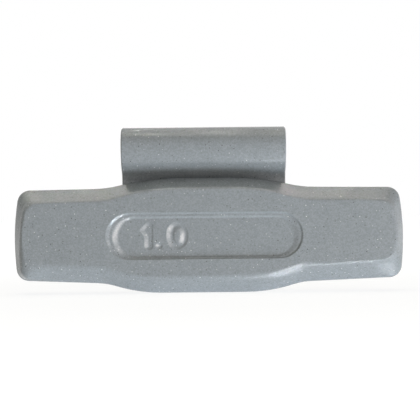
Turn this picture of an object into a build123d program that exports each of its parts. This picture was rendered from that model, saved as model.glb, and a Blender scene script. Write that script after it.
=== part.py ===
from build123d import *
import os
from math import radians, tan

# Clip-on wheel balance weight: a coined steel body held to a rim's lip by a spring clip.
# Millimetres. +X runs along the body, -Y is the front face, +Z is up, away from the hub.
# The origin is the middle of the clip's roll, where the round edge of the rim's lip lies.

# Spring clip, bent from one strip, with each radius on the inside of its bend
clip_width = 22.0
strip_thickness = 0.9
strip_edge_break = 0.2
lip_radius = 1.6
lip_wrap_angle = 135.0
swell_radius = 3.1
neck_angle = 60.0
neck_run = 0.5
bend_radius = 1.15
leg_length = 10.6
leg_corner_radius = 2.0
tail_radius = 9.0
tail_angle = 25.0
flare_radius = 1.0
flare_angle = 40.0
tip_run = 0.5
tip_corner_radius = 1.2

# Body outline, lengths from the clip's middle and heights from the body's middle
left_reach = 25.38
right_reach = 26.61
end_top = 6.12
end_foot = 5.94
root_top = 6.27
root_foot = 6.44
root_half_length = 13.1
bulge_top = 7.62
bulge_foot = 7.76
bulge_top_half_length = 7.2
bulge_foot_half_length = 8.75
bulge_round_share = 0.7
root_round_share = 0.28
corner_radius = 1.7
end_bow_top = 0.65
end_bow_foot = 0.4

# Body section: a straight back half, and a front half that is bevelled all round
body_depth = 5.38
bevel_depth = 2.4
bevel_top = 1.68
bevel_top_middle = 1.4
bevel_foot_left = 2.15
bevel_foot_middle = 2.3
bevel_foot_right = 2.8
bevel_end = 1.15
face_corner_radius = 1.0
crease_radius = 0.5
side_edge_radius = 0.8
back_edge_break = 0.4

# Sunk panel with coved walls in the front face
panel_length = 25.7
panel_height = 5.85
panel_depth = 0.5
panel_wall_run = 0.5
panel_shift = 0.15
panel_drop = 0.1
panel_mouth_break = 0.12
panel_cove_radius = 1.2

# Pocket in the back for the clip's leg, and the studs that are headed over it
shoulder_rise = 0.42
shoulder_lead = 0.3
pocket_side_clearance = 0.15
pocket_foot_clearance = 0.3
stud_radius = 1.5
stud_clearance = 0.05
stud_edge_distance = 5.0
stud_drop = 5.6
head_radius = 2.3
head_height = 0.5
head_bevel = 0.3
head_sink = 0.05


def strip_side(depth):
    """Lines of the bent strip at a depth below its rim side, from the leg's foot to the tail's tip."""
    front = (-lip_radius - depth, 0)
    swell = JernArc(front, (0, -1), swell_radius + depth, neck_angle)
    neck = Line(swell @ 1, swell @ 1 + (swell % 1) * neck_run)
    bend = JernArc(neck @ 1, neck % 1, bend_radius + strip_thickness - depth, -neck_angle)
    leg = Line(bend @ 1, bend @ 1 + (bend % 1) * leg_length)
    roll = JernArc(front, (0, 1), lip_radius + depth, -lip_wrap_angle)
    tail = JernArc(roll @ 1, roll % 1, tail_radius + depth, -tail_angle)
    flare = JernArc(tail @ 1, tail % 1, flare_radius + strip_thickness - depth, flare_angle)
    tip = Line(flare @ 1, flare @ 1 + (flare % 1) * tip_run)
    return [leg, bend, neck, swell, roll, tail, flare, tip]


# Places that follow from the bent strip, as depths along Y and heights along Z
rim_side = strip_side(0)
outer_side = strip_side(strip_thickness)
leg_back = (rim_side[0] @ 0).X
leg_top = (rim_side[0] @ 0).Y
leg_front = leg_back - strip_thickness
leg_foot = leg_top - leg_length
stud_x = clip_width / 2 - stud_edge_distance
stud_z = leg_top - stud_drop
body_back = leg_back + head_height + head_sink
body_front = body_back - body_depth
body_side = body_front + bevel_depth
body_middle = leg_top + shoulder_rise - bulge_top

# Heights of the body's long edges and the widths of their bevels, from the left end to the right
top_heights = [end_top, root_top, bulge_top, root_top, end_top]
foot_heights = [end_foot, root_foot, bulge_foot, root_foot, end_foot]
top_bevels = [bevel_top, bevel_top, bevel_top_middle, bevel_top, bevel_top]
bevel_foot_right_root = (bevel_foot_middle + bevel_foot_right) / 2
foot_bevels = [bevel_foot_left, bevel_foot_left, bevel_foot_middle, bevel_foot_right_root, bevel_foot_right]
no_bevels = [0] * len(top_heights)


def facing_front(x, y, z):
    """Drawing plane seen from the front, with its X along the body and its Y up."""
    return Plane(origin=(x, y, z), x_dir=(1, 0, 0), z_dir=(0, -1, 0))


def make_spring_clip():
    """The strip bent over the rim's lip, with rounded corners, broken edges and two holes in its leg."""
    foot_end = Line(rim_side[0] @ 1, outer_side[0] @ 1)
    tip_end = Line(rim_side[-1] @ 1, outer_side[-1] @ 1)
    profile = make_face(rim_side + outer_side + [foot_end, tip_end])
    clip = extrude(Plane.YZ * profile, clip_width / 2, both=True)
    foot_corners = clip.edges().filter_by(Axis.Y).group_by(Axis.Z)[0]
    clip = fillet(foot_corners, leg_corner_radius)
    tip_face = clip.faces().sort_by_distance(Plane.YZ.from_local_coords(tip_end @ 0.5))[0]
    tip_corners = tip_face.edges().sort_by(SortBy.LENGTH)[:2]
    clip = fillet(tip_corners, tip_corner_radius)
    clip = chamfer(clip.faces().filter_by(Axis.X).edges(), strip_edge_break)
    for x in (-stud_x, stud_x):
        hole = Circle(stud_radius + stud_clearance)
        clip -= extrude(facing_front(x, leg_back, stud_z) * hole, strip_thickness)
    return clip


def bulging_edge(left, right, heights, bulge_half_length):
    """Long edge of the body from its left end to its right, rounded into the bulge and out of it."""
    places = [left, -root_half_length, -bulge_half_length, bulge_half_length, root_half_length, right]
    left_end, left_root, bulge, right_root, right_end = heights
    points = [Vector(*point) for point in zip(places, [left_end, left_root, bulge, bulge, right_root, right_end])]
    left_slope = (points[2] - points[1]).length
    right_slope = (points[4] - points[3]).length
    rooms = [
        root_round_share * left_slope,
        bulge_round_share * left_slope,
        bulge_round_share * right_slope,
        root_round_share * right_slope,
    ]
    radii = []
    for before, corner, after, room in zip(points, points[1:], points[2:], rooms):
        half_turn = radians((corner - before).get_angle(after - corner) / 2)
        radii.append(room / tan(half_turn))
    return FilletPolyline(points, radius=radii)


def body_outline(y, top_insets, foot_insets, end_inset, corner_round):
    """Face within the body's outline at a depth, drawn in from its edges by the given insets."""
    left = end_inset - left_reach
    right = right_reach - end_inset
    tops = [height - inset for height, inset in zip(top_heights, top_insets)]
    feet = [inset - height for height, inset in zip(foot_heights, foot_insets)]
    top = bulging_edge(left + end_bow_top, right - end_bow_top, tops, bulge_top_half_length)
    foot = bulging_edge(left + end_bow_foot, right - end_bow_foot, feet, bulge_foot_half_length)
    left_end = ThreePointArc(top @ 0, (left, 0), foot @ 0)
    right_end = ThreePointArc(top @ 1, (right, 0), foot @ 1)
    outline = make_face([top, right_end, foot, left_end])
    ends = [top @ 0, top @ 1, foot @ 1, foot @ 0]
    corners = [outline.vertices().sort_by_distance(end)[0] for end in ends]
    return facing_front(0, y, body_middle) * fillet(corners, corner_round)


def make_coined_blank():
    """The body as coined, before its panel and pocket: straight sides, bevelled front, rounded edges."""
    side_outline = body_outline(body_side, no_bevels, no_bevels, 0, corner_radius)
    face_outline = body_outline(body_front, top_bevels, foot_bevels, bevel_end, face_corner_radius)
    blank = extrude(side_outline, bevel_depth - body_depth) + loft([side_outline, face_outline], ruled=True)
    blank = fillet(blank.faces().sort_by(Axis.Y)[0].edges(), crease_radius)
    side_edges = blank.edges().filter_by_position(Axis.Y, body_side, body_side)
    blank = fillet(side_edges, side_edge_radius)
    return chamfer(blank.faces().sort_by(Axis.Y)[-1].edges(), back_edge_break)


def make_panel_cut():
    """Metal pressed out of the front face by the obround panel."""
    mouth = SlotOverall(panel_length, panel_height)
    floor = SlotOverall(panel_length - 2 * panel_wall_run, panel_height - 2 * panel_wall_run)
    z = body_middle - panel_drop
    mouth_plane = facing_front(panel_shift, body_front, z)
    floor_plane = facing_front(panel_shift, body_front + panel_depth, z)
    return loft([mouth_plane * mouth, floor_plane * floor], ruled=True)


def make_pocket_cut():
    """Metal taken out of the back for the leg, with a rounded shoulder for the strip to bend over."""
    foot = leg_foot - pocket_foot_clearance
    floor = Line((leg_front, foot), (leg_front, leg_top - shoulder_lead))
    shoulder = JernArc(floor @ 1, floor % 1, bend_radius, neck_angle)
    slope = Line(shoulder @ 1, shoulder @ 1 + (shoulder % 1) * body_depth)
    top = Line(slope @ 1, (body_back, (slope @ 1).Y))
    back = Line(top @ 1, (body_back, foot))
    heel = Line(back @ 1, floor @ 0)
    profile = make_face([floor, shoulder, slope, top, back, heel])
    pocket = extrude(Plane.YZ * profile, clip_width / 2 + pocket_side_clearance, both=True)
    foot_corners = pocket.edges().filter_by(Axis.Y).group_by(Axis.Z)[0]
    return fillet(foot_corners, leg_corner_radius)


def make_stud(x):
    """Stud of the body's own metal through the leg, headed over behind it."""
    stud = extrude(facing_front(x, leg_back, stud_z) * Circle(stud_radius), strip_thickness)
    head = extrude(facing_front(x, leg_back + head_height, stud_z) * Circle(head_radius), head_height)
    head = chamfer(head.edges().sort_by(Axis.Y)[-1], head_bevel)
    return stud + head


def make_weight_body():
    """The coined body with its panel in front, its pocket behind, and the clip's studs headed over."""
    body = make_coined_blank() - make_panel_cut()
    panel_floor = body.faces().filter_by(Axis.Y).sort_by_distance((panel_shift, body_front, body_middle))[0]
    body = fillet(panel_floor.edges(), panel_cove_radius)
    mouth_edges = body.faces().sort_by(Axis.Y)[0].inner_wires()[0].edges()
    body = chamfer(mouth_edges, panel_mouth_break)
    body -= make_pocket_cut()
    for x in (-stud_x, stud_x):
        body += make_stud(x)
    return body


os.makedirs("parts", exist_ok=True)
export_step(make_spring_clip(), "parts/spring_clip.step")
export_step(make_weight_body(), "parts/weight_body.step")
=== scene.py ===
import bmesh
import bpy
from math import cos, radians, sin
from mathutils import Matrix, Vector


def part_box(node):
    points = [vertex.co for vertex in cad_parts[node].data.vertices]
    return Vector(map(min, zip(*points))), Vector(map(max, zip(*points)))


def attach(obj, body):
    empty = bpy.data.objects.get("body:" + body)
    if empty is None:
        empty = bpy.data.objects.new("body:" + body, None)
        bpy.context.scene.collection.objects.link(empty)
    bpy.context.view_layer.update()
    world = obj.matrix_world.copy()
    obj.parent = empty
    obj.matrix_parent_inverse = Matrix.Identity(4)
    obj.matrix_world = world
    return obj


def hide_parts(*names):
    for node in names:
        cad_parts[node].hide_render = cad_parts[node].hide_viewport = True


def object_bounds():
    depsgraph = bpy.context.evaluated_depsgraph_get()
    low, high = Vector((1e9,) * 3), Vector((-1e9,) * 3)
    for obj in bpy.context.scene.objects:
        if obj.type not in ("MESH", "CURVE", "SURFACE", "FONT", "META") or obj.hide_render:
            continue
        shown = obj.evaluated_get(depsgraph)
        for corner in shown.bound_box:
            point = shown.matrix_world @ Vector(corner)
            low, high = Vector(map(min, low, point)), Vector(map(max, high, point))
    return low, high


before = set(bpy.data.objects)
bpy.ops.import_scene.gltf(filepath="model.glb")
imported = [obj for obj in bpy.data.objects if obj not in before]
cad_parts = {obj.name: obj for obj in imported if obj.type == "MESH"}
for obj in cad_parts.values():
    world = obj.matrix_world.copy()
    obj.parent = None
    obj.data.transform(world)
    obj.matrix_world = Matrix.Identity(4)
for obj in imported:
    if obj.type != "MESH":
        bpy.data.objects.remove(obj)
cad_low, cad_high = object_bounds()


# Weight body
# A bar of soft steel, coined in a die, with a bevelled front, a swollen middle and a sunk panel.
# The number of its weight was struck into the panel's floor before the bar was powder coated grey.

body_low, body_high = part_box("weight_body")
body_middle = (body_low + body_high) / 2
tiny = 1e-6


def merged_copy(node):
    """The node's own mesh as a new mesh, with the corners that its loose triangles share merged."""
    shape = bmesh.new()
    shape.from_mesh(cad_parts[node].data)
    bmesh.ops.remove_doubles(shape, verts=shape.verts, dist=tiny)
    mesh = bpy.data.meshes.new(node)
    shape.to_mesh(mesh)
    shape.free()
    stored_normals = mesh.attributes.get("custom_normal")
    if stored_normals:
        mesh.attributes.remove(stored_normals)
    return mesh


bar = bpy.data.objects.new("coined_bar", merged_copy("weight_body"))
bpy.context.collection.objects.link(bar)

# The panel's lip, where the face starts to turn in
panel_depth = 0.0005
panel_floor = body_low.y + panel_depth
panel_left = -0.01310
panel_right = 0.01313
panel_foot = body_middle.z - 0.00318
panel_top = body_middle.z + 0.00310


def close_panel(piece):
    """Takes the panel's faces out of the piece's mesh and closes its front face over them."""
    shape = bmesh.new()
    shape.from_mesh(piece.data)
    sunk = []
    for face in shape.faces:
        middle = face.calc_center_median()
        within = panel_left < middle.x < panel_right and panel_foot < middle.z < panel_top
        if within and body_low.y + tiny < middle.y < panel_floor + tiny:
            sunk.append(face)
    bmesh.ops.delete(shape, geom=sunk, context="FACES")
    bmesh.ops.holes_fill(shape, edges=[edge for edge in shape.edges if edge.is_boundary])
    front = [face for face in shape.faces if face.calc_center_median().y < body_low.y + tiny]
    bmesh.ops.dissolve_faces(shape, faces=front)
    bmesh.ops.recalc_face_normals(shape, faces=shape.faces)
    shape.to_mesh(piece.data)
    shape.free()


close_panel(bar)

# Each bevel at places along the bar: the place, the bevel's run for its depth, and how deep and
# how far out over the face it is eased
end_bevel = [(0, 0.46, 0.0008, 0.00025)]
top_bevel = [
    (-0.0131, 0.70, 0.00024, 0.00025),
    (-0.0088, 0.583, 0.00040, 0.00025),
    (0.0088, 0.583, 0.00040, 0.00025),
    (0.0131, 0.70, 0.00024, 0.00025),
]
foot_bevel = [
    (-0.0131, 0.58, 0.0021, 0.0011),
    (-0.0088, 0.74, 0.0021, 0.0005),
    (0.0088, 0.72, 0.0021, 0.0009),
    (0.0131, 0.88, 0.0019, 0.0008),
    (0.0165, 0.91, 0.0005, 0.0003),
    (0.0266, 1.00, 0.0003, 0.0001),
]
# The depth at which the old front comes off, the spacing of points round its rim, where the rim turns
# from its long edges to its ends, and the turns at which the new front is drawn
ease_depth = 0.0022
rim_step = 0.0005
end_bow = 0.0012
end_round = 0.0027
root_reach = 0.0131
straight_end = 0.0039
bevel_turns = [-0.9, -0.1]
ease_steps = 16


def between(stations, place):
    """The values at a place, on straight lines between stations that each hold a place and its values."""
    if place <= stations[0][0]:
        return stations[0][1:]
    for (start, *first), (end, *second) in zip(stations, stations[1:]):
        if place <= end:
            share = (place - start) / (end - start)
            return [low + (high - low) * share for low, high in zip(first, second)]
    return stations[-1][1:]


def eased_step(bevel, place, turn):
    """How far in from the bar's rim, and how deep below its face, a turn of an eased bevel lies."""
    slope, below, ahead = between(bevel, place)
    crease = slope * (ease_depth - below)
    if turn < 0:
        return crease * (1 + turn), ease_depth + (below - ease_depth) * (1 + turn)
    corner = slope * below
    return crease + 2 * turn * (1 - turn) * corner + turn ** 2 * (corner + ahead), below * (1 - turn) ** 2


def eased_point(rim, turn):
    """Where a rim's point comes to: up the bevel for turns below nought, then on the curve to the face."""
    end_in, end_depth = eased_step(end_bevel, rim.x, turn)
    top_in, top_depth = eased_step(top_bevel, rim.x, turn)
    foot_in, foot_depth = eased_step(foot_bevel, rim.x, turn)
    height = rim.z - body_middle.z
    left_end = (body_low.x + end_round, end_in)
    right_end = (body_high.x - end_round, -end_in)
    inward = between([left_end, (-root_reach, 0), (root_reach, 0), right_end], rim.x)[0]
    upward = between([(-straight_end, foot_in), (straight_end, -top_in)], height)[0]
    past_end = max(body_low.x + end_bow - rim.x, rim.x - body_high.x + end_bow)
    edge_depth = top_depth if height > 0 else foot_depth
    depth = between([(-end_round, edge_depth), (0, end_depth)], past_end)[0]
    return Vector((rim.x + inward, body_low.y + depth, rim.z + upward))


def ease_front(piece):
    """Takes the front off the bar and closes it again with a face that runs softly into its bevels."""
    shape = bmesh.new()
    shape.from_mesh(piece.data)
    rim_place = shape.verts.layers.float_vector.new("rim_place")
    cut = bmesh.ops.bisect_plane(
        shape, geom=shape.verts[:] + shape.edges[:] + shape.faces[:], dist=tiny,
        plane_co=(0, body_low.y + ease_depth, 0), plane_no=(0, 1, 0), clear_inner=True)
    for edge in [item for item in cut["geom_cut"] if isinstance(item, bmesh.types.BMEdge)]:
        cuts = int(edge.calc_length() / rim_step)
        if cuts:
            bmesh.ops.subdivide_edges(shape, edges=[edge], cuts=cuts)
    ring = [edge for edge in shape.edges if edge.is_boundary]
    for corner in {corner for edge in ring for corner in edge.verts}:
        corner[rim_place] = corner.co
    for turn in bevel_turns + [step / ease_steps for step in range(ease_steps + 1)]:
        made = bmesh.ops.extrude_edge_only(shape, edges=ring)["geom"]
        for corner in [item for item in made if isinstance(item, bmesh.types.BMVert)]:
            corner.co = eased_point(corner[rim_place], turn)
        ring = [item for item in made if isinstance(item, bmesh.types.BMEdge) and item.is_boundary]
    bmesh.ops.contextual_create(shape, geom=ring)
    bmesh.ops.recalc_face_normals(shape, faces=shape.faces)
    shape.verts.layers.float_vector.remove(rim_place)
    shape.to_mesh(piece.data)
    shape.free()


ease_front(bar)

# The runs of the wall's lip, ledge and cove at the panel's left, right, foot and top
wall_runs = [
    (0.00058, 0.00012, 0.00115),
    (0.00032, 0.00012, 0.00092),
    (0.00023, 0.00002, 0.00020),
    (0.00028, 0.00020, 0.00036),
]
lip_depth = 0.00026
wall_steps = 10
end_segments = 32
die_lift = 0.0004
# Each tool's sloped wall starts this far above the face it cuts, to cross the face cleanly
cut_lead = 0.000002


def facing_front(across, depth, height):
    """The placing of a flat shape that is drawn as seen from the front."""
    return Matrix.Translation((across, depth, height)) @ Matrix.Rotation(radians(90), 4, "X")


def obround_ring(shape, left, right, foot, top, depth):
    """A closed loop of edges with round ends, at a depth along the bar's thickness."""
    radius = (top - foot) / 2
    made = bmesh.ops.create_circle(shape, segments=2 * end_segments + 2, radius=radius,
                                   matrix=facing_front(left + radius, depth, foot + radius))
    right_end = [corner for corner in made["verts"] if corner.co.x > left + radius]
    bmesh.ops.translate(shape, verts=right_end, vec=(right - left - 2 * radius, 0, 0))
    return made["verts"]


def wall_levels():
    """The panel's wall as shares of its lip's, ledge's and cove's runs, each with its depth."""
    shares = [step / wall_steps for step in range(wall_steps + 1)]
    falls = [share ** 2 * (3 - 2 * share) for share in shares]
    lip = [(share, 0, 0, lip_depth * fall) for share, fall in zip(shares, falls)]
    cove_depth = panel_depth - lip_depth
    cove = [(1, 1, share, lip_depth + cove_depth * fall) for share, fall in zip(shares, falls)]
    return lip[1:] + cove


def panel_die():
    """The die that presses the panel: straight above the face, then a stepped wall down to the floor."""
    die = bmesh.new()
    rings = []
    for rise in (die_lift, cut_lead):
        rings.append(obround_ring(die, panel_left, panel_right, panel_foot, panel_top, body_low.y - rise))
    for lip, ledge, cove, depth in wall_levels():
        left, right, foot, top = [lip * runs[0] + ledge * runs[1] + cove * runs[2] for runs in wall_runs]
        rings.append(obround_ring(die, panel_left + left, panel_right - right,
                                  panel_foot + foot, panel_top - top, body_low.y + depth))
    for upper, lower in zip(rings, rings[1:]):
        for spot in range(len(upper)):
            die.faces.new((upper[spot - 1], upper[spot], lower[spot], lower[spot - 1]))
    for end in (rings[0], rings[-1]):
        die.faces.new(end)
    bmesh.ops.recalc_face_normals(die, faces=die.faces)
    return die


def cut_away(piece, tool_shape, name):
    """Takes a tool's shape out of the piece's mesh."""
    tool_mesh = bpy.data.meshes.new(name)
    tool_shape.to_mesh(tool_mesh)
    tool_shape.free()
    tool = bpy.data.objects.new(name, tool_mesh)
    bpy.context.collection.objects.link(tool)
    cut = piece.modifiers.new(name, "BOOLEAN")
    cut.operation = "DIFFERENCE"
    cut.solver = "EXACT"
    cut.object = tool
    evaluated = piece.evaluated_get(bpy.context.evaluated_depsgraph_get())
    piece.data = bpy.data.meshes.new_from_object(evaluated)
    piece.modifiers.clear()
    bpy.data.objects.remove(tool)


cut_away(bar, panel_die(), "panel_die")

number_start = panel_floor - cut_lead
number_foot = body_middle.z - 0.00194
number_top = body_middle.z + 0.00191
stroke_width = 0.00130
# Each step into the metal: its run across the wall, its drop and its shift to the right
mark_steps = [(0.00008, 0.00002, 0), (0.00031, 0.00012, 0.00018), (0.00008, 0.00002, 0)]
one_middle = -0.00735
one_corner = 0.00056
flag_start = 0.00024
flag_reach = 0.00131
flag_tip_drop = 0.00113
# Points on the flag's upper edge, as shares of its length, which keep its wall evenly shaded
flag_places = (0, 0.25, 0.70, 1)
flag_foot_drop = 0.00205
corner_segments = 8
point_middle = -0.00600
point_width = 0.00110
point_segments = 32
nought_middle = -0.00355
nought_width = 0.00308
nought_stroke = 0.00118
nought_segments = 56


def flat_one(mark):
    """A flat face just above the panel's floor: a straight one with a short flag and rounded ends."""
    left = one_middle - stroke_width / 2
    right = one_middle + stroke_width / 2
    flag_top = Vector((one_middle - flag_start, number_top))
    flag_tip = Vector((one_middle - flag_reach, number_top - flag_tip_drop))
    flag = [flag_top.lerp(flag_tip, place) for place in flag_places]
    points = [
        (left, number_foot),
        (right, number_foot),
        (right, number_top),
        *flag,
        (left, number_top - flag_foot_drop),
    ]
    corners = [mark.verts.new((across, number_start, height)) for across, height in points]
    mark.faces.new(corners)
    bmesh.ops.bevel(mark, geom=corners[:3], offset=one_corner, affect="VERTICES",
                    segments=corner_segments, profile=0.5, material=-1)
    return mark.faces[:]


def ring_edges(ring):
    """The edges that join a ring's corners to each other."""
    corners = set(ring)
    edges = {edge for corner in ring for edge in corner.link_edges}
    return [edge for edge in edges if set(edge.verts) <= corners]


def flat_spot(mark, across, height, width):
    """A flat round face just above the panel's floor."""
    made = bmesh.ops.create_circle(mark, segments=point_segments, radius=width / 2,
                                   matrix=facing_front(across, number_start, height))
    return bmesh.ops.contextual_create(mark, geom=ring_edges(made["verts"]))["faces"]


def flat_ring(mark, across, height, outer, inner):
    """A flat oval ring just above the panel's floor, with the half sizes of its outer and inner edges."""
    edges = []
    for half_width, half_height in (outer, inner):
        oval = facing_front(across, number_start, height) @ Matrix.Diagonal((half_width, half_height, 1, 1))
        made = bmesh.ops.create_circle(mark, segments=nought_segments, radius=1, matrix=oval)
        edges += ring_edges(made["verts"])
    return bmesh.ops.bridge_loops(mark, edges=edges)["faces"]


def strike(mark, faces):
    """Turns flat faces into a punch: straight above the panel's floor, with sloped walls below it."""
    edges = list({edge for face in faces for edge in face.edges})
    shank = bmesh.ops.extrude_face_region(mark, geom=faces + edges, use_keep_orig=True)
    shank_corners = [item for item in shank["geom"] if isinstance(item, bmesh.types.BMVert)]
    bmesh.ops.translate(mark, verts=shank_corners, vec=(0, -die_lift, 0))
    bmesh.ops.recalc_face_normals(mark, faces=mark.faces)
    for run, drop, shift in mark_steps:
        bmesh.ops.inset_region(mark, faces=faces, thickness=run, depth=drop,
                               use_boundary=True, use_even_offset=True)
        foot_corners = list({corner for face in faces for corner in face.verts})
        bmesh.ops.translate(mark, verts=foot_corners, vec=(shift, 0, 0))


def number_punch():
    """The punch for the number: a one, a point and a nought."""
    mark = bmesh.new()
    strike(mark, flat_one(mark))
    strike(mark, flat_spot(mark, point_middle, number_foot + point_width / 2, point_width))
    outer = (nought_width / 2, (number_top - number_foot) / 2)
    inner = (outer[0] - nought_stroke, outer[1] - nought_stroke)
    strike(mark, flat_ring(mark, nought_middle, (number_foot + number_top) / 2, outer, inner))
    return mark


cut_away(bar, number_punch(), "number_punch")


def shade_coated(piece, crease_angle):
    """Smooth shading that runs over the rounded edges and stays flat on the broad faces."""
    piece.data.shade_smooth()
    piece.data.set_sharp_from_angle(angle=crease_angle)
    even = piece.modifiers.new("even_shading", "WEIGHTED_NORMAL")
    even.mode = "FACE_AREA"
    even.keep_sharp = True


bar_crease = radians(50)
shade_coated(bar, bar_crease)

coat_lean = (0.197, 0.216, 0.227, 1)
coat_rich = (0.295, 0.324, 0.341, 1)
light_fleck = (0.66, 0.68, 0.69, 1)
dark_fleck = (0.07, 0.075, 0.08, 1)


def add_node(tree, kind, settings, inputs):
    """A new node of the material with its settings, its values and the sockets wired to its inputs."""
    made = tree.nodes.new(kind)
    for name, value in settings.items():
        setattr(made, name, value)
    for name, value in inputs.items():
        if isinstance(value, bpy.types.NodeSocket):
            tree.links.new(value, made.inputs[name])
        else:
            made.inputs[name].default_value = value
    return made


def flecks(tree, places, per_metre, radius, kept_share):
    """Mask of small round flecks in the coat, with only a share of them kept."""
    cells = add_node(tree, "ShaderNodeTexVoronoi", {}, {"Vector": places, "Scale": per_metre})
    spot = add_node(tree, "ShaderNodeMapRange", {"interpolation_type": "SMOOTHSTEP"}, {
        "Value": cells.outputs["Distance"],
        "From Min": radius * per_metre,
        "From Max": radius * per_metre / 2,
    })
    chance = add_node(tree, "ShaderNodeSeparateColor", {}, {"Color": cells.outputs["Color"]})
    kept = add_node(tree, "ShaderNodeMapRange", {}, {
        "Value": chance.outputs["Red"], "From Min": 1 - kept_share,
    })
    mask = add_node(tree, "ShaderNodeMath", {"operation": "MULTIPLY"}, {})
    tree.links.new(spot.outputs["Result"], mask.inputs[0])
    tree.links.new(kept.outputs["Result"], mask.inputs[1])
    return mask.outputs["Value"]


def blend_colour(tree, share, first, second):
    """Mixes two colours by a mask."""
    mix = add_node(tree, "ShaderNodeMix", {"data_type": "RGBA"}, {})
    for socket, value in (("Factor_Float", share), ("A_Color", first), ("B_Color", second)):
        target = next(entry for entry in mix.inputs if entry.identifier == socket)
        if isinstance(value, bpy.types.NodeSocket):
            tree.links.new(value, target)
        else:
            target.default_value = value
    return next(entry for entry in mix.outputs if entry.identifier == "Result_Color")


def powder_coat(name):
    """Grey powder coat: grained and clouded, peppered with light and dark flecks, with a fine orange peel."""
    cloud_per_metre = 420
    cloud_detail = 4
    cloud_roughness = 0.6
    grain_per_metre = 6500
    grain_share = 0.6
    light_per_metre = 1700
    light_radius = 0.00009
    light_share = 0.8
    dark_per_metre = 1800
    dark_radius = 0.00010
    dark_share = 0.9
    dark_shift = (0.013, 0.007, 0.021)
    peel_per_metre = 4200
    peel_detail = 2
    peel_roughness = 0.5
    peel_height = 0.000009
    least_rough = 0.10
    most_rough = 0.22
    shine = 0.62
    material = bpy.data.materials.new(name)
    material.use_nodes = True
    tree = material.node_tree
    shader = tree.nodes["Principled BSDF"]
    places = add_node(tree, "ShaderNodeTexCoord", {}, {}).outputs["Object"]
    cloud = add_node(tree, "ShaderNodeTexNoise", {}, {
        "Vector": places, "Scale": cloud_per_metre, "Detail": cloud_detail, "Roughness": cloud_roughness,
    })
    grain = add_node(tree, "ShaderNodeTexVoronoi", {}, {"Vector": places, "Scale": grain_per_metre})
    grain_tone = add_node(tree, "ShaderNodeSeparateColor", {}, {"Color": grain.outputs["Color"]})
    tone = add_node(tree, "ShaderNodeMix", {"data_type": "FLOAT"}, {
        "Factor": grain_share, "A": cloud.outputs["Fac"], "B": grain_tone.outputs["Red"],
    })
    light = flecks(tree, places, light_per_metre, light_radius, light_share)
    shifted = add_node(tree, "ShaderNodeMapping", {}, {"Vector": places, "Location": dark_shift})
    dark = flecks(tree, shifted.outputs["Vector"], dark_per_metre, dark_radius, dark_share)
    clouded = blend_colour(tree, tone.outputs["Result"], coat_lean, coat_rich)
    darkened = blend_colour(tree, dark, clouded, dark_fleck)
    tree.links.new(blend_colour(tree, light, darkened, light_fleck), shader.inputs["Base Color"])
    peel = add_node(tree, "ShaderNodeTexNoise", {}, {
        "Vector": places, "Scale": peel_per_metre, "Detail": peel_detail, "Roughness": peel_roughness,
    })
    gloss = add_node(tree, "ShaderNodeMapRange", {}, {
        "Value": peel.outputs["Fac"], "To Min": least_rough, "To Max": most_rough,
    })
    tree.links.new(gloss.outputs["Result"], shader.inputs["Roughness"])
    shader.inputs["Specular IOR Level"].default_value = shine
    bump = add_node(tree, "ShaderNodeBump", {}, {"Distance": peel_height, "Height": peel.outputs["Fac"]})
    tree.links.new(bump.outputs["Normal"], shader.inputs["Normal"])
    return material


bar.data.materials.clear()
bar.data.materials.append(powder_coat("body_powder_coat"))
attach(bar, "root")
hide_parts("weight_body")


# Spring clip
# A strip of spring steel, sheared and bent cold: its leg lies behind the bar, held by the bar's two
# studs, and its roll goes over the rim's lip. It has the same grey powder coat as the bar.

clip = bpy.data.objects.new("bent_clip", merged_copy("spring_clip"))
bpy.context.collection.objects.link(clip)
clip_crease = radians(60)
shade_coated(clip, clip_crease)
clip.data.materials.clear()
clip.data.materials.append(powder_coat("clip_powder_coat"))
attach(clip, "root")
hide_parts("spring_clip")


# Floor
# A pale opal table under the bar's foot. It shows white, with the bar's soft shadow,
# and lets the lamps beneath it shine through.

floor_half = 1.5
floor_pale = (0.65, 0.65, 0.65, 1)
floor_shade = (0.2, 0.2, 0.2, 1)
near_glow = 0.86
far_glow = 1
near_reach = 0.03
far_reach = 0.15
floor_shape = bmesh.new()
bmesh.ops.create_grid(floor_shape, x_segments=1, y_segments=1, size=floor_half)
bmesh.ops.translate(floor_shape, verts=floor_shape.verts, vec=(0, 0, cad_low.z))
floor_mesh = bpy.data.meshes.new("opal_table")
floor_shape.to_mesh(floor_mesh)
floor_shape.free()
floor = bpy.data.objects.new("opal_table", floor_mesh)
bpy.context.collection.objects.link(floor)
floor.visible_shadow = False


def seen_share(tree):
    """One where a ray comes from the camera, a mirror or a glass, and nought elsewhere."""
    path = add_node(tree, "ShaderNodeLightPath", {}, {})
    share = path.outputs["Is Camera Ray"]
    for ray in ("Is Glossy Ray", "Is Transmission Ray"):
        either = add_node(tree, "ShaderNodeMath", {"operation": "MAXIMUM"}, {})
        tree.links.new(share, either.inputs[0])
        tree.links.new(path.outputs[ray], either.inputs[1])
        share = either.outputs["Value"]
    return share


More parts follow.
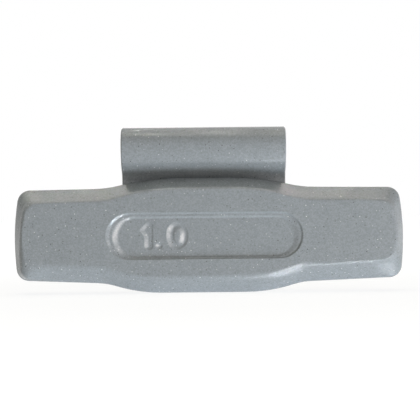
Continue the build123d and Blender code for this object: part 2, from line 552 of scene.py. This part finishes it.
floor_material = bpy.data.materials.new("opal_white")
floor_material.use_nodes = True
floor_tree = floor_material.node_tree
floor_tree.nodes.remove(floor_tree.nodes["Principled BSDF"])
lit_from_above = add_node(floor_tree, "ShaderNodeBsdfDiffuse", {}, {"Color": floor_pale})
floor_places = add_node(floor_tree, "ShaderNodeTexCoord", {}, {}).outputs["Object"]
from_bar = add_node(floor_tree, "ShaderNodeVectorMath", {"operation": "LENGTH"}, {"Vector": floor_places})
floor_glow = add_node(floor_tree, "ShaderNodeMapRange", {}, {
    "Value": from_bar.outputs["Value"],
    "From Min": near_reach,
    "From Max": far_reach,
    "To Min": near_glow,
    "To Max": far_glow,
})
glow = add_node(floor_tree, "ShaderNodeEmission", {}, {"Strength": floor_glow.outputs["Result"]})
shadow_part = add_node(floor_tree, "ShaderNodeBsdfDiffuse", {}, {"Color": floor_shade})
seen_floor = add_node(floor_tree, "ShaderNodeAddShader", {}, {})
floor_tree.links.new(glow.outputs["Emission"], seen_floor.inputs[0])
floor_tree.links.new(shadow_part.outputs["BSDF"], seen_floor.inputs[1])
floor_mix = add_node(floor_tree, "ShaderNodeMixShader", {}, {"Fac": seen_share(floor_tree)})
floor_tree.links.new(lit_from_above.outputs["BSDF"], floor_mix.inputs[1])
floor_tree.links.new(seen_floor.outputs["Shader"], floor_mix.inputs[2])
floor_tree.links.new(floor_mix.outputs["Shader"], floor_tree.nodes["Material Output"].inputs["Surface"])
floor_mesh.materials.append(floor_material)


# Light
# Soft boxes, all at one distance from the bar: a broad warm one overhead with two weak ones beside it,
# two slim ones in front on the right with a small one further round, and three below on the right.

lamp_reach = 0.35


def soft_box(name, azimuth, elevation, width, height, watts, colour):
    """A lamp with a flat sheet of light, turned to the bar, at degrees to the camera's right and up."""
    turn = radians(azimuth)
    rise = radians(elevation)
    lamp = bpy.data.lights.new(name, "AREA")
    lamp.shape = "RECTANGLE"
    lamp.size = width
    lamp.size_y = height
    lamp.energy = watts
    lamp.color = colour
    # Sampled from the lamp alone, its highlights keep their full light
    lamp.cycles.use_multiple_importance_sampling = False
    to_lamp = Vector((sin(turn) * cos(rise), -cos(turn) * cos(rise), sin(rise)))
    holder = bpy.data.objects.new(name, lamp)
    holder.location = body_middle + lamp_reach * to_lamp
    holder.rotation_euler = (-to_lamp).to_track_quat("-Z", "Y").to_euler()
    holder.visible_camera = False
    bpy.context.collection.objects.link(holder)


soft_box("overhead_box", 180, 82, 0.34, 0.34, 0.580, (1.00, 0.97, 0.92))
soft_box("left_box", -80, 60, 0.20, 0.20, 0.155, (0.94, 1.00, 0.81))
soft_box("front_box", 0, 75, 0.16, 0.16, 0.070, (1.00, 1.00, 0.83))
soft_box("slim_box", 25, -14, 0.07, 0.21, 0.345, (1.00, 0.92, 0.88))
soft_box("upper_box", 25, 20, 0.07, 0.18, 0.12, (1.00, 0.94, 0.91))
soft_box("side_box", 58, 14, 0.10, 0.10, 0.12, (1.00, 0.92, 0.88))
soft_box("key_box", 45, -38, 0.12, 0.12, 0.38, (0.72, 0.87, 1.00))
soft_box("low_box", 48, -55, 0.22, 0.22, 0.690, (0.87, 0.93, 1.00))
soft_box("foot_box", 26, -44, 0.09, 0.09, 0.16, (1.00, 1.00, 1.00))

room_light = 0.02
seen_light = 1
room_white = (1, 1, 1, 1)
world = bpy.data.worlds.new("white_room")
bpy.context.scene.world = world
world.use_nodes = True
room = world.node_tree
room_lit = room.nodes["Background"]
room_lit.inputs["Color"].default_value = room_white
room_lit.inputs["Strength"].default_value = room_light
room_seen = add_node(room, "ShaderNodeBackground", {}, {"Color": room_white, "Strength": seen_light})
room_mix = add_node(room, "ShaderNodeMixShader", {}, {"Fac": seen_share(room)})
room.links.new(room_lit.outputs["Background"], room_mix.inputs[1])
room.links.new(room_seen.outputs["Background"], room_mix.inputs[2])
room.links.new(room_mix.outputs["Shader"], room.nodes["World Output"].inputs["Surface"])
bpy.context.scene.view_settings.view_transform = "Standard"


# Camera
# Level with the bar, straight in front of it, and turned a little about its own axis.

camera_reach = 0.180
picture_width = 0.0562
picture_middle = Vector((0.0008, -0.0010, body_middle.z + 0.00334))
camera_roll = radians(0.6)
nearest_seen = 0.0018
lens = bpy.data.cameras.new("front_camera")
lens.lens = lens.sensor_width * camera_reach / picture_width
lens.clip_start = nearest_seen
camera = bpy.data.objects.new("front_camera", lens)
camera.location = picture_middle - Vector((0, camera_reach, 0))
camera.rotation_euler = (radians(90), camera_roll, 0)
bpy.context.collection.objects.link(camera)
bpy.context.scene.camera = camera
